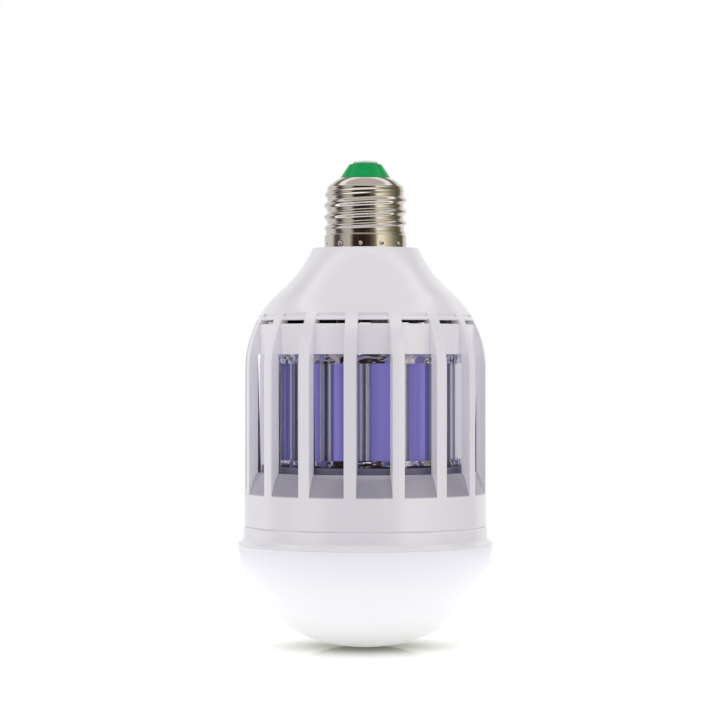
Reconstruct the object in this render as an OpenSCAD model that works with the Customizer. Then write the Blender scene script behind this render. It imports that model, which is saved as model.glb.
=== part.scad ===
// Insect killer light bulb: a screw-cap lamp with a barred cage round a lit
// lure column and an electrode grid, and a milky dome lamp below it.
// The cap points up (+Z). The origin is the face of the centre contact, where the
// lamp meets its holder, so the whole bulb hangs below it. All sizes are in mm.

/* [Screw cap] */
// Radius of the cap's plain skirt
skirt_r = 13.0; // [12.9:0.05:13.1]
// Height of the skirt below the thread
skirt_h = 4.3; // [3.5:0.1:5]
// Thickness of the cap's shell
shell_t = 0.4; // [0.3:0.05:0.5]
// Radius of the thread at its crests
crest_r = 13.12; // [13.05:0.01:13.15]
// Depth of the thread, crest to root
thread_depth = 1.0; // [0.8:0.05:1.1]
// Distance from one crest to the next
pitch = 3.629; // [3.4:0.01:3.8]
// Height of the threaded part
thread_h = 14.5; // [12:0.1:16]
// Height of the rounded shoulder over the thread
shoulder_h = 3.4; // [3:0.1:4]
// Radius of the insulator at its foot
insulator_r = 8.05; // [7.5:0.05:9]
// Radius of the insulator at its top
insulator_top_r = 5.06; // [4.7:0.05:5.5]
// Height of the insulator that shows
insulator_h = 4.4; // [3.5:0.1:5]
// Radius of the centre contact
contact_r = 3.95; // [3.5:0.05:4.5]
// How far the centre contact stands above the insulator
contact_h = 1.3; // [0.9:0.1:1.6]

/* [Housing and cage] */
// Outer radius of the cage over its bars
cage_r = 38.2; // [37:0.1:39]
// Height of the cage below the start of the shoulder's curve
straight_h = 49.7; // [47:0.1:52]
// Height of the shoulder's curve
cone_h = 38.1; // [36:0.1:40]
// Radius of the flat top round the cap
neck_r = 16.8; // [16:0.1:18]
// Radius of the shoulder's outward curve
outward_r = 32.4; // [30:0.1:34]
// Radius of the shoulder's inward curve towards the neck
inward_r = 36.0; // [34:0.1:40]
// Wall of the shoulder
housing_t = 1.8; // [1.5:0.1:2.2]
// Number of bars round the cage
bar_count = 16; // [12:1:18]
// Width of one bar
bar_w = 3.8; // [3.5:0.1:5]
// Depth of one bar, outside to inside
bar_depth = 2.8; // [2.4:0.1:3.4]
// Height of the lower ring under the windows
lower_ring_h = 10.2; // [8:0.1:11]
// Wall of the lower ring
lower_ring_t = 2.0; // [1.8:0.1:2.2]
// Height of the sloped sill at the foot of each window
sill_h = 7.2; // [5:0.1:8]
// Height of the windows above the sill
window_h = 36.9; // [34:0.1:39]
// How far the band over the windows is set in from the bars
band_inset = 3.5; // [3:0.1:4.2]
// Height of the band over the windows
band_h = 9.4; // [8:0.1:10]
// Height of the vent slots over the band
slot_h = 0.9; // [0.7:0.1:1.2]

/* [Electrode grid] */
// Number of upright electrodes
post_count = 14; // [10:2:16]
// Diameter of one electrode rod
post_d = 4.4; // [3:0.1:4.6]
// Angle of the first electrode from the first bar
post_phase = 6.4; // [0:0.1:20]
// Gap between the bus rings and the bore of the band over them
bus_gap = 2.3; // [1.5:0.1:2.5]
// Width of the two bus rings
bus_w = 7.6; // [7:0.1:8.4]
// Height of the upper bus ring
upper_bus_h = 2.9; // [2:0.1:3.2]
// Height of the lower bus ring
lower_bus_h = 1.6; // [1.2:0.1:2]
// Gap between the lower bus ring and the deck
lower_bus_lift = 0.6; // [0.5:0.1:2]
// Height of the deck under the grid over the top of the sill
deck_rise = 1.9; // [1:0.1:2.4]

/* [Lure column] */
// Gap between the glowing tube and the bus rings
tube_gap = 3.5; // [2.5:0.1:5]
// Wall of the glowing tube
tube_t = 1.2; // [1:0.1:1.6]
// Width of the upright circuit board inside the tube
uv_board_w = 24; // [20:0.5:28]
// Thickness of the circuit boards
board_t = 1.6; // [1.2:0.1:2]
// Number of lamps in one column on the upright board
uv_rows = 5; // [3:1:6]

/* [Plates and driver] */
// Thickness of the two insulating plates
plate_t = 2.0; // [1.8:0.1:2.4]
// Gap between the driver board and the bore of the band
driver_gap = 3.9; // [3.5:0.1:5.9]
// Height of the driver board over the upper plate
driver_lift = 9.4; // [9:0.1:10]
// Diameter of the reservoir capacitor
cap_d = 10; // [8:0.5:11]
// Height of the reservoir capacitor
cap_h = 13; // [10:0.5:14]
// Diameter of the insulated leads
lead_d = 1.3; // [1:0.1:1.6]

/* [Base ring, lamp and dome] */
// Height of the base ring
base_h = 5.6; // [5:0.1:6]
// How far the base ring stands out beyond the cage
base_lip = 0.3; // [0.1:0.1:0.8]
// How far the base ring's flare and the dome stand out beyond the base ring
flare_w = 1.7; // [1.3:0.1:2.5]
// Height of the base ring's flare
flare_h = 2.2; // [1.8:0.1:2.6]
// Height of the dome, as a share of its radius
dome_rise = 0.806; // [0.75:0.002:0.87]
// Radius of the dome's flanks, as a share of the dome's
flank_share = 0.895; // [0.85:0.005:0.94]
// Radius of the dome's flatter bottom, as a share of the dome's
bottom_share = 1.49; // [1.4:0.01:2]
// Wall of the dome
dome_t = 1.6; // [1.2:0.1:2]
// Thickness of the aluminium heat plate
heat_t = 1.2; // [1:0.1:1.4]
// Thickness of the lamp board
lamp_board_t = 1.0; // [0.8:0.1:1.2]
// Number of lamps in the outer circle on the lamp board
led_count = 16; // [10:1:20]

/* [Fits] */
// Gap all round between parts that slide together
fit = 0.1; // [0.05:0.05:0.15]
// Gap round an electrode that has to stay insulated from a bus ring
spark_gap = 0.9; // [0.7:0.05:1]

/* [Hidden] */
$fn = 96;
eps = 0.01;

// Walls and depths that are shared by parts that meet
lip_t = 1.8;
lip_w = 2.4;
shelf_w = 1.0;
base_t = 2.0;
ledge_w = 5.6;
ledge_t = 1.6;
socket_depth = 1.4;
collar_h = 1.5;
collar_t = 2.0;
spigot_t = 1.8;

// Levels, all measured down from the face of the centre contact
insulator_top_z = -contact_h;
shell_top_z = insulator_top_z - insulator_h;
thread_top_z = shell_top_z - shoulder_h;
skirt_top_z = thread_top_z - thread_h;
neck_top_z = skirt_top_z - 1.2;
neck_z = skirt_top_z - skirt_h;
curve_z = neck_z - cone_h;
cage_z = curve_z - straight_h;
sill_z = cage_z + lower_ring_h;
crest_z = sill_z + sill_h;
deck_z = crest_z + deck_rise;
ceiling_z = crest_z + window_h;
band_top_z = ceiling_z + band_h;
slot_top_z = band_top_z + slot_h;
rim_z = cage_z - base_h;
upper_bus_z = ceiling_z - upper_bus_h;
lower_bus_z = deck_z + lower_bus_lift;
plate_top_z = ceiling_z + plate_t;
board_z = plate_top_z + driver_lift;
board_top_z = board_z + board_t;
ledge_z = cage_z - ledge_t;
heat_z = ledge_z - heat_t;
lamp_board_z = heat_z - lamp_board_t;
lower_plate_z = crest_z - lip_t - plate_t;

// Radii that follow from the walls, gaps and fits
base_r = cage_r + base_lip;
dome_r = base_r + flare_w;
flank_r = flank_share * dome_r;
bottom_r = bottom_share * dome_r;
bottom_z = rim_z - dome_rise * dome_r;
band_r = cage_r - band_inset;
bar_inner_r = cage_r - bar_depth;
band_bore_r = band_r - housing_t;
shelf_r = band_bore_r - shelf_w;
bus_r = band_bore_r - bus_gap;
bus_bore_r = bus_r - bus_w;
post_circle_r = (bus_r + bus_bore_r) / 2;
tube_r = bus_bore_r - tube_gap;
driver_r = band_bore_r - driver_gap;
ring_bore_r = cage_r - lower_ring_t;
lip_r = bar_inner_r - lip_w;
spigot_r = ring_bore_r - fit;
spigot_bore_r = spigot_r - spigot_t;
base_bore_r = base_r - base_t;
dome_spigot_r = base_bore_r - fit;
dome_spigot_t = 1.5;
dome_spigot_h = 3.0;
boss_r = skirt_r - shell_t - fit;
post_z0 = deck_z - socket_depth;
post_z1 = ceiling_z + socket_depth;
collar_r = tube_r - tube_t - fit;
socket_d = post_d + 2 * fit;
screw_d = 2.2;
screw_head_d = 3.8;
screw_head_h = 0.9;
screw_boss_d = 4.4;
boss_h = 9;
plate_screw_r = band_bore_r - screw_boss_d / 2 - 2 * fit;
heat_plate_r = dome_spigot_r - dome_spigot_t - 3 * fit;
ledge_bore_r = heat_plate_r - ledge_w;
heat_screw_r = heat_plate_r - 3.1;
first_post_a = post_phase - 90;
post_step = 360 / post_count;
// The grid is fed between a live electrode and the return electrode that follows it
feed_post = 2 * floor(post_count * 3 / 8);
grid_lead_a = first_post_a + (feed_post + 0.5) * post_step;
module_h = 8;
module_reach = driver_r - 2;
module_z = board_z - module_h;
// Screws stand midway between two electrodes, as near to thirds of the circle as these allow
function between_posts_a(k) = first_post_a + (round(k * post_count / 3) + 0.5) * post_step;
lamp_lead_x = 3;
lamp_lead_y = 4;
led_size = [2.8, 3.5, 0.7];
shell_lead_r = insulator_r + 1.1;
contact_seat_r = contact_r * 0.7;
contact_seat_depth = 0.8;

function polar(r, a) = [r * cos(a), r * sin(a)];
function arc(c, r, a0, a1, n) = [for (i = [0:n]) c + polar(r, a0 + (a1 - a0) * i / n)];
// The same arc without its first point, to carry on from one that ends there
function arc_on(c, r, a0, a1, n) = [for (i = [1:n]) c + polar(r, a0 + (a1 - a0) * i / n)];
function angle_to(v) = atan2(v[1], v[0]);
// Where two circles cross, on the left of the line from the first centre to the second
function crossing(c1, r1, c2, r2) =
    let (d = norm(c2 - c1), u = (c2 - c1) / d, x = (d * d + r1 * r1 - r2 * r2) / (2 * d),
         y = sqrt(r1 * r1 - x * x))
    c1 + u * x + [-u[1], u[0]] * y;

// The shoulder: an outward curve that leaves the cage upright, then an inward one up to the neck
out_c = [cage_r - outward_r, curve_z];
neck_p = [neck_r, neck_z];
in_c = crossing(neck_p, inward_r, out_c, outward_r + inward_r);
flank_a = angle_to(in_c - out_c);
neck_a = angle_to(neck_p - in_c);
// The same two curves set in by the housing's wall, from the shelf up to the neck's bore
shelf_a = acos((shelf_r - out_c[0]) / (outward_r - housing_t));
neck_bore_r = boss_r - housing_t;
neck_bore_a = asin((in_c[1] - neck_z + housing_t) / (inward_r + housing_t)) - 180;
// Outer radius of the shoulder at a height on its outward curve
function shoulder_r(z) = out_c[0] + sqrt(pow(outward_r, 2) - pow(z - curve_z, 2));

// Shapes that several pieces use
module ring(r_out, r_in, z0, z1) {
    translate([0, 0, z0]) difference() {
        cylinder(r = r_out, h = z1 - z0);
        translate([0, 0, -1]) cylinder(r = r_in, h = z1 - z0 + 2);
    }
}

module disc(r, z0, z1) {
    translate([0, 0, z0]) cylinder(r = r, h = z1 - z0);
}

module round_about(count, r, phase = 0) {
    for (i = [0:count - 1]) rotate(phase + i * 360 / count) translate([r, 0, 0]) children();
}

// A place on the driver board, as shares of its radius
module on_board(x, y) {
    translate([x * driver_r, y * driver_r, board_top_z]) children();
}

module pillar(d, z0, z1) {
    translate([0, 0, z0]) cylinder(d = d, h = z1 - z0, $fn = 24);
}

module block(size, z0) {
    translate([-size[0] / 2, -size[1] / 2, z0]) cube(size);
}

// Flat-headed screw pointing up, its head flush with z
module screw(length, z) {
    translate([0, 0, z]) {
        cylinder(d1 = screw_head_d, d2 = screw_d, h = screw_head_h, $fn = 32);
        cylinder(d = screw_d, h = length, $fn = 24);
    }
}

// The hole that takes such a screw
module screw_hole(length, z) {
    translate([0, 0, z]) {
        cylinder(d1 = screw_head_d + 2 * fit, d2 = screw_d + 2 * fit, h = screw_head_h, $fn = 32);
        translate([0, 0, -1]) cylinder(d = screw_d + 2 * fit, h = length + 1, $fn = 24);
    }
}

// Where the electrodes stand: every one, or every other one from the first or the second
module at_posts(first = 0, every = 1) {
    for (i = [first:every:post_count - 1]) rotate(first_post_a + i * post_step)
        translate([post_circle_r, 0, 0]) children();
}

module at_plate_screws() {
    for (k = [0:2]) rotate(between_posts_a(k)) translate([plate_screw_r, 0, 0]) children();
}

module lamp_lead_places() {
    for (side = [-1, 1]) translate([side * lamp_lead_x, lamp_lead_y, 0]) children();
}

// Radius of the shell's thread at an angle and height: a rounded wave that starts from its mean
// size at the skirt and runs out to its root under the shoulder
root_r = crest_r - thread_depth;
mean_r = crest_r - thread_depth / 2;
function thread_r(a, z) =
    let (u = z / thread_h, rise = min(1, 6 * u), run_out = min(1, 6 * (1 - u)))
    root_r + run_out * thread_depth / 2 * (1 + rise * cos(a - 360 * z / pitch));

// Wall of the thread: an outer and an inner face, ring by ring, let into the round parts at its ends
module thread_tube() {
    around = 36;
    levels_a_turn = 8;
    levels = round(thread_h / pitch * levels_a_turn);
    sink = 0.3;
    heights = concat([-sink], [for (k = [0:levels]) k * thread_h / levels], [thread_h + sink]);
    rings = len(heights);
    wall = [for (inset = [0, shell_t], z = heights, i = [0:around - 1])
        let (a = i * 360 / around, r = thread_r(a, max(0, min(thread_h, z))) - inset)
        concat(polar(r, a), [z])];
    function at(side, k, i) = (side * rings + k) * around + i % around;
    translate([0, 0, skirt_top_z]) polyhedron(wall, concat(
        [for (k = [0:rings - 2], i = [0:around - 1])
            [at(0, k, i), at(0, k + 1, i), at(0, k + 1, i + 1), at(0, k, i + 1)]],
        [for (k = [0:rings - 2], i = [0:around - 1])
            [at(1, k, i), at(1, k, i + 1), at(1, k + 1, i + 1), at(1, k + 1, i)]],
        [for (i = [0:around - 1]) [at(0, 0, i), at(0, 0, i + 1), at(1, 0, i + 1), at(1, 0, i)]],
        [for (i = [0:around - 1])
            [at(0, rings - 1, i), at(1, rings - 1, i), at(1, rings - 1, i + 1), at(0, rings - 1, i + 1)]]));
}

module screw_shell() {
    bend_r = 1.2;
    foot_r = root_r + 0.05;
    bend_c = [foot_r - bend_r, thread_top_z];
    slope_z = thread_top_z + 1.5;
    // The round parts reach this far past the thread's wall on its inside
    seam = 0.15;
    color("silver") {
        thread_tube();
        // Skirt that is crimped onto the housing, with a collar that carries the thread
        rotate_extrude() polygon([
            [skirt_r, neck_z], [skirt_r, skirt_top_z - 0.3], [skirt_r - 0.3, skirt_top_z],
            [mean_r - shell_t - seam, skirt_top_z], [mean_r - shell_t - seam, skirt_top_z - 0.6],
            [skirt_r - shell_t, skirt_top_z - 0.8], [skirt_r - shell_t, neck_z]]);
        // Rounded shoulder that closes in to the insulator
        rotate_extrude() polygon(concat(
            arc(bend_c, bend_r, 0, 48, 5),
            [[root_r - bend_r, slope_z], [insulator_r + 0.3, shell_top_z], [insulator_r, shell_top_z],
             [insulator_r, shell_top_z - shell_t], [root_r - bend_r, slope_z - shell_t],
             [root_r - shell_t - seam, thread_top_z + 0.6], [root_r - shell_t - seam, thread_top_z]]));
    }
}

module cap_insulator() {
    color("seagreen") difference() {
        union() {
            translate([0, 0, shell_top_z]) cylinder(r1 = insulator_r, r2 = insulator_top_r, h = insulator_h);
            translate([0, 0, shell_top_z - shoulder_h]) cylinder(r = insulator_r - fit, h = shoulder_h);
        }
        pillar(lead_d + 2 * fit, shell_top_z - shoulder_h - 1, 1);
        translate([0, 0, insulator_top_z - contact_seat_depth]) cylinder(r = contact_seat_r, h = 2);
    }
}

module centre_contact() {
    color("gainsboro") rotate_extrude() polygon([
        [0, insulator_top_z - contact_seat_depth], [contact_seat_r - fit, insulator_top_z - contact_seat_depth],
        [contact_seat_r - fit, insulator_top_z], [contact_r, insulator_top_z], [contact_r, -0.5],
        [contact_r - 0.35, -0.15], [contact_r - 0.9, 0], [0, 0]]);
}

module contact_lead() {
    color("firebrick") pillar(lead_d, board_top_z, insulator_top_z - contact_seat_depth);
}

// The lead that is laid up inside the cap and soldered to the shell's shoulder
module shell_lead() {
    color("black") translate([0, shell_lead_r, 0]) pillar(lead_d, board_top_z, shell_top_z - 1.4);
}

// What is open between two bars: the window, the step over the band, the slot and the lip over it
module open_section() {
    lip_z = slot_top_z + 3.6;
    far_r = cage_r + 6;
    lip_tip = 0.7;
    polygon(concat(
        [[far_r, sill_z - 1], [cage_r + 1, sill_z - 1], [cage_r, sill_z], [bar_inner_r, crest_z],
         [bar_inner_r - 1, crest_z], [bar_inner_r - 1, ceiling_z], [band_r, ceiling_z],
         [band_r, band_top_z - 0.5], [band_r - 0.5, band_top_z], [shelf_r - 1, band_top_z],
         [shelf_r - 1, slot_top_z]],
        arc([band_r - 1.1, slot_top_z + lip_tip], lip_tip, -90, 0, 4),
        [[shoulder_r(lip_z), lip_z], [far_r, lip_z]]));
}

module between_bars() {
    half_gap = 180 / bar_count;
    reach = 60;
    // Near corner where the flat sides of two bars would meet
    tip = bar_w / 2 / sin(half_gap);
    for (i = [0:bar_count - 1]) rotate((i + 0.5) * 360 / bar_count - 90)
        translate([tip, 0, sill_z - 5]) linear_extrude(slot_top_z - sill_z + 20)
            polygon([[0, 0], polar(reach, -half_gap), polar(reach, half_gap)]);
}

module cage_housing() {
    color("whitesmoke") difference() {
        union() {
            housing_shell();
            // The bosses stop a little over the plate, so that it seats on the shelf
            at_plate_screws() pillar(screw_boss_d, plate_top_z + fit, plate_top_z + boss_h);
        }
        at_plate_screws() pillar(screw_d + 2 * fit, plate_top_z - 1, plate_top_z + boss_h - 1);
        intersection() {
            rotate_extrude() open_section();
            between_bars();
        }
    }
}

module housing_shell() {
    groove = 0.6;
    rotate_extrude() polygon(concat(
            [[boss_r - 0.4, neck_top_z], [boss_r, neck_top_z - 0.4], [boss_r, neck_z], neck_p],
            arc_on(in_c, inward_r, neck_a, flank_a - 180, 12),
            arc_on(out_c, outward_r, flank_a, 0, 14),
            [[cage_r, cage_z + 0.4], [cage_r - 0.4, cage_z], [ring_bore_r, cage_z],
             [ring_bore_r, cage_z + 2], [ring_bore_r + groove, cage_z + 2.6],
             [ring_bore_r + groove, cage_z + 3.4], [ring_bore_r, cage_z + 4],
             [ring_bore_r, crest_z - lip_t], [lip_r, crest_z - lip_t], [lip_r, crest_z],
             [bar_inner_r, crest_z], [bar_inner_r, ceiling_z], [band_bore_r, ceiling_z],
             [band_bore_r, plate_top_z], [shelf_r, plate_top_z]],
            arc(out_c, outward_r - housing_t, shelf_a, flank_a, 8),
            arc_on(in_c, inward_r + housing_t, flank_a - 180, neck_bore_a, 10),
            [[neck_bore_r, neck_z - housing_t], [neck_bore_r, neck_top_z]]));
}

module upper_plate() {
    standoff_d = 5;
    color("ghostwhite") difference() {
        union() {
            disc(band_bore_r - fit, ceiling_z, plate_top_z);
            ring(collar_r, collar_r - collar_t, ceiling_z - collar_h, ceiling_z);
            for (a = [100, 180, 260]) rotate(grid_lead_a + a) translate([driver_r - 4, 0, 0])
                pillar(standoff_d, plate_top_z - 0.4, board_z);
        }
        at_posts() pillar(socket_d, ceiling_z - 1, post_z1 + eps);
        at_plate_screws() screw_hole(plate_t + 1, ceiling_z);
        lamp_lead_places() pillar(lead_d + 2 * fit, ceiling_z - 1, plate_top_z + 1);
        block([uv_board_w + 2 * fit, board_t + 2 * fit, 2], ceiling_z - 1);
        rotate(grid_lead_a) {
            translate([bus_bore_r + 2, 0, 0]) pillar(lead_d + 2 * fit, ceiling_z - 1, plate_top_z + 1);
            rotate(post_step / 2) translate([post_circle_r, 0, 0])
                pillar(lead_d + 2 * fit, ceiling_z, plate_top_z + 1);
        }
    }
}

module upper_plate_screws() {
    color("dimgray") at_plate_screws() screw(plate_t + 6, ceiling_z);
}

module driver_board() {
    color("darkgreen") disc(driver_r, board_z, board_top_z);
}

module reservoir_capacitor() {
    bead = 0.35;
    color("midnightblue") on_board(-0.38, -0.17) rotate_extrude() polygon(concat(
        [[0, 0], [cap_d / 2 - bead, 0], [cap_d / 2, bead], [cap_d / 2, 1.6], [cap_d / 2 - bead, 2],
         [cap_d / 2, 2.4]],
        arc([cap_d / 2 - 0.8, cap_h - 0.8], 0.8, 0, 90, 4),
        [[cap_d / 2 - 1.4, cap_h - 0.2], [0, cap_h - 0.2]]));
}

module step_up_coil() {
    core_r = 5;
    wound_r = 3.8;
    flange_t = 1.2;
    turns = 7;
    wire = 0.8;
    color("darkgoldenrod") on_board(0.41, 0.14) rotate_extrude() polygon(concat(
        [[0, 0], [core_r, 0], [core_r, flange_t]],
        [for (k = [0:turns - 1])
            each [[wound_r, flange_t + k * wire], [wound_r + wire / 2, flange_t + (k + 0.5) * wire]]],
        [[wound_r, flange_t + turns * wire], [core_r, flange_t + turns * wire],
         [core_r, 2 * flange_t + turns * wire], [0, 2 * flange_t + turns * wire]]));
}

module driver_chips() {
    resistor_r = 1.1;
    color("darkslategray") {
        on_board(0.45, -0.31) block([7, 5, 3], 0);
        on_board(0.1, -0.45) block([5, 4, 1.6], 0);
        on_board(0, 0.59) block([11, 5, 8], 0);
        on_board(-0.48, 0.41) block([5, 6, 2.4], 0);
        for (y = [-0.62, -0.74]) on_board(-0.14, y) translate([0, 0, resistor_r]) rotate([0, 90, 0])
            cylinder(r = resistor_r, h = 7, $fn = 24);
    }
}

module high_voltage_module() {
    size = [0.62 * driver_r, 0.69 * driver_r];
    color("black") rotate(grid_lead_a) translate([module_reach - size[0] / 2, 0, 0])
        block([size[0], size[1], module_h], module_z);
}

// Two short leads: one to the upper bus ring, one to the head of a return electrode
module grid_leads() {
    color("crimson") rotate(grid_lead_a) {
        translate([bus_bore_r + 2, 0, 0]) pillar(lead_d, ceiling_z, module_z);
        rotate(post_step / 2) translate([post_circle_r, 0, 0]) pillar(lead_d, post_z1, module_z);
    }
}

// A ring that grips every other electrode and stays clear of the ones between
module bus_ring(z, h, gripped) {
    difference() {
        rotate_extrude() polygon([
            [bus_bore_r, z], [bus_r - 0.4, z], [bus_r, z + 0.4], [bus_r, z + h - 0.4], [bus_r - 0.4, z + h],
            [bus_bore_r, z + h]]);
        at_posts(gripped, 2) pillar(post_d + 0.04, z - 1, z + h + 1);
        at_posts(1 - gripped, 2) pillar(post_d + 2 * spark_gap, z - 1, z + h + 1);
    }
}

module upper_bus_ring() {
    color("lightsteelblue") bus_ring(upper_bus_z, upper_bus_h, 0);
}

module lower_bus_ring() {
    color("lightsteelblue") bus_ring(lower_bus_z, lower_bus_h, 1);
}

module electrode() {
    round_e = 0.3;
    rotate_extrude($fn = 32) polygon([
        [0, post_z0], [post_d / 2 - round_e, post_z0], [post_d / 2, post_z0 + round_e],
        [post_d / 2, post_z1 - round_e], [post_d / 2 - round_e, post_z1], [0, post_z1]]);
}

module live_electrodes() {
    color("slategray") at_posts(0, 2) electrode();
}

module return_electrodes() {
    color("lightslategray") at_posts(1, 2) electrode();
}

module lure_tube() {
    color("mediumslateblue", 0.7) ring(tube_r, tube_r - tube_t, deck_z, ceiling_z);
}

module uv_board() {
    color("white") block([uv_board_w, board_t, ceiling_z - deck_z + 2 * (1 - fit)], deck_z - 1 + fit);
}

module uv_lamps() {
    body = 3.5;
    thick = 0.9;
    spacing = (ceiling_z - deck_z - 6) / uv_rows;
    color("thistle") for (face = [0, 180], x = [-uv_board_w / 4, uv_board_w / 4], k = [0:uv_rows - 1])
        rotate(face) translate([x, -board_t / 2 - thick, deck_z + 3 + (k + 0.5) * spacing]) {
            translate([-body / 2, 0, -body / 2]) cube([body, thick, body]);
            rotate([90, 0, 0]) cylinder(r1 = 1.4, r2 = 1, h = 0.5, $fn = 24);
        }
}

module lower_plate() {
    rib_w = 1.8;
    color("ghostwhite") difference() {
        union() {
            disc(spigot_r, lower_plate_z, crest_z - lip_t);
            disc(lip_r - fit, lower_plate_z, deck_z);
            ring(collar_r, collar_r - collar_t, deck_z, deck_z + collar_h);
            ring(post_circle_r + rib_w / 2, post_circle_r - rib_w / 2, deck_z, lower_bus_z);
        }
        // Hollow underneath, so that the deck is no thicker than the plate
        disc(lip_r - fit - plate_t, lower_plate_z - 1, deck_z - plate_t);
        at_posts() pillar(socket_d, post_z0 - eps, lower_bus_z + 1);
        lamp_lead_places() pillar(lead_d + 2 * fit, lower_plate_z - 1, deck_z + 1);
        block([uv_board_w + 2 * fit, board_t + 2 * fit, 2], deck_z - 1);
    }
}

module lamp_leads() {
    color("firebrick") lamp_lead_places() pillar(lead_d, heat_z, board_z);
}

module base_ring() {
    lug_w = 8;
    lug_rise = 0.45;
    color("whitesmoke") difference() {
        union() {
            rotate_extrude() polygon(concat(
                [[base_bore_r, rim_z], [dome_r - 0.2, rim_z], [dome_r, rim_z + 0.2]],
                [for (i = [0:5])
                    [base_r + (dome_r - base_r) * pow(1 - i / 5, 2), rim_z + 0.2 + (flare_h - 0.2) * i / 5]],
                [[base_r, cage_z - 0.4], [base_r - 0.4, cage_z], [spigot_r, cage_z], [spigot_r, lower_plate_z],
                 [spigot_bore_r, lower_plate_z], [spigot_bore_r, cage_z], [ledge_bore_r, cage_z],
                 [ledge_bore_r, ledge_z], [base_bore_r, ledge_z]]));
            round_about(3, heat_screw_r) pillar(screw_boss_d, ledge_z, cage_z + 5);
            intersection() {
                ring(spigot_r + lug_rise, spigot_r - 0.5, cage_z + 2.7, cage_z + 3.3);
                round_about(4, spigot_r, 45) block([4, lug_w, 10], cage_z);
            }
        }
        round_about(3, heat_screw_r) pillar(screw_d + 2 * fit, ledge_z - 1, cage_z + 4);
    }
}

module heat_plate() {
    color("darkgray") difference() {
        ring(heat_plate_r, 3, heat_z, ledge_z);
        lamp_lead_places() pillar(lead_d + 2 * fit, heat_z - 1, ledge_z + 1);
        round_about(3, heat_screw_r) pillar(screw_d + 2 * fit, heat_z - 1, ledge_z + 1);
    }
}

module lamp_board() {
    color("white") difference() {
        disc(heat_plate_r - 0.4, lamp_board_z, heat_z);
        round_about(3, heat_screw_r) screw_hole(lamp_board_t + 1, lamp_board_z);
    }
}

module white_lamps() {
    outer_r = heat_screw_r - 4.2;
    color("lightyellow") {
        round_about(led_count, outer_r, 11) block(led_size, lamp_board_z - led_size[2]);
        round_about(led_count / 2, outer_r * 0.55, 11) block(led_size, lamp_board_z - led_size[2]);
    }
}

module heat_plate_screws() {
    color("dimgray") round_about(3, heat_screw_r) screw(5.5, lamp_board_z);
}

// The dome: flanks that run into a flatter bottom without a break
dome_base_c = [0, bottom_z + bottom_r];
dome_rim_p = [dome_r, rim_z - 0.9];
dome_flank_c = crossing(dome_rim_p, flank_r, dome_base_c, bottom_r - flank_r);
join_a = angle_to(dome_flank_c - dome_base_c);

function dome_outline(t, a0) = concat(
    arc(dome_flank_c, flank_r - t, a0, join_a, 16),
    arc(dome_base_c, bottom_r - t, join_a, -90, 4));

module diffuser_dome() {
    inner_a = asin((rim_z - dome_t - dome_flank_c[1]) / (flank_r - dome_t));
    inner = dome_outline(dome_t, inner_a);
    spigot_inner_r = dome_spigot_r - dome_spigot_t;
    color("white", 0.85) rotate_extrude() polygon(concat(
        [[spigot_inner_r, rim_z - dome_t], [spigot_inner_r, rim_z + dome_spigot_h],
         [dome_spigot_r, rim_z + dome_spigot_h], [dome_spigot_r, rim_z], [dome_r - 0.3, rim_z],
         [dome_r, rim_z - 0.3]],
        dome_outline(0, angle_to(dome_rim_p - dome_flank_c)),
        [for (i = [len(inner) - 1:-1:0]) inner[i]]));
}

screw_shell();
cap_insulator();
centre_contact();
contact_lead();
shell_lead();
cage_housing();
upper_plate();
upper_plate_screws();
driver_board();
reservoir_capacitor();
step_up_coil();
driver_chips();
high_voltage_module();
grid_leads();
upper_bus_ring();
lower_bus_ring();
live_electrodes();
return_electrodes();
lure_tube();
uv_board();
uv_lamps();
lower_plate();
lamp_leads();
base_ring();
heat_plate();
lamp_board();
white_lamps();
heat_plate_screws();
diffuser_dome();
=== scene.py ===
"""Insect killer light bulb: the finish of every part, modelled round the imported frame.

Everything is in metres in the frame's own axes, with the screw cap up. Shapes are turned,
cut and bevelled as a maker would, and each sits where the frame's part sits.
"""

import math

import bpy
from mathutils import Matrix, Vector


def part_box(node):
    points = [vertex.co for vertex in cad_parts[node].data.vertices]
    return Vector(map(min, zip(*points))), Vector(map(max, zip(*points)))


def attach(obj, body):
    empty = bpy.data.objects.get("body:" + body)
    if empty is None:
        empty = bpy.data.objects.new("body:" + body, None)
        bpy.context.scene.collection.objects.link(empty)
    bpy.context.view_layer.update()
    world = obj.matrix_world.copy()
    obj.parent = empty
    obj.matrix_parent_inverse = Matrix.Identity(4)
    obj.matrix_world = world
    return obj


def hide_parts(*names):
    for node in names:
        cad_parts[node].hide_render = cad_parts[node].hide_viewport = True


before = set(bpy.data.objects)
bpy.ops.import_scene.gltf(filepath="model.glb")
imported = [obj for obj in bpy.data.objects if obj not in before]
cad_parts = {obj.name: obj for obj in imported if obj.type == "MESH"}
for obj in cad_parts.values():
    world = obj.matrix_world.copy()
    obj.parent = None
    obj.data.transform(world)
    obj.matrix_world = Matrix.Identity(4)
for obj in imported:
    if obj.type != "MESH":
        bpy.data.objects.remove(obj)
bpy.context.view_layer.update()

MM = 0.001


def level(node, end):
    """Height of a part's lowest (0) or highest (1) point, in mm."""
    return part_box(node)[end][2] / MM


# Levels and radii read from the frame, in mm
NECK_Z = level("screw_shell", 0)
SHELL_TOP_Z = level("screw_shell", 1)
CAGE_Z = level("cage_housing", 0)
DECK_Z = level("lure_tube", 0)
CEILING_Z = level("lure_tube", 1)
RIM_Z = level("base_ring", 0)
BOTTOM_Z = level("diffuser_dome", 0)
CAGE_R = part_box("cage_housing")[1][0] / MM
DOME_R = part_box("base_ring")[1][0] / MM
TUBE_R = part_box("lure_tube")[1][0] / MM
BUS_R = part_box("upper_bus_ring")[1][0] / MM

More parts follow.
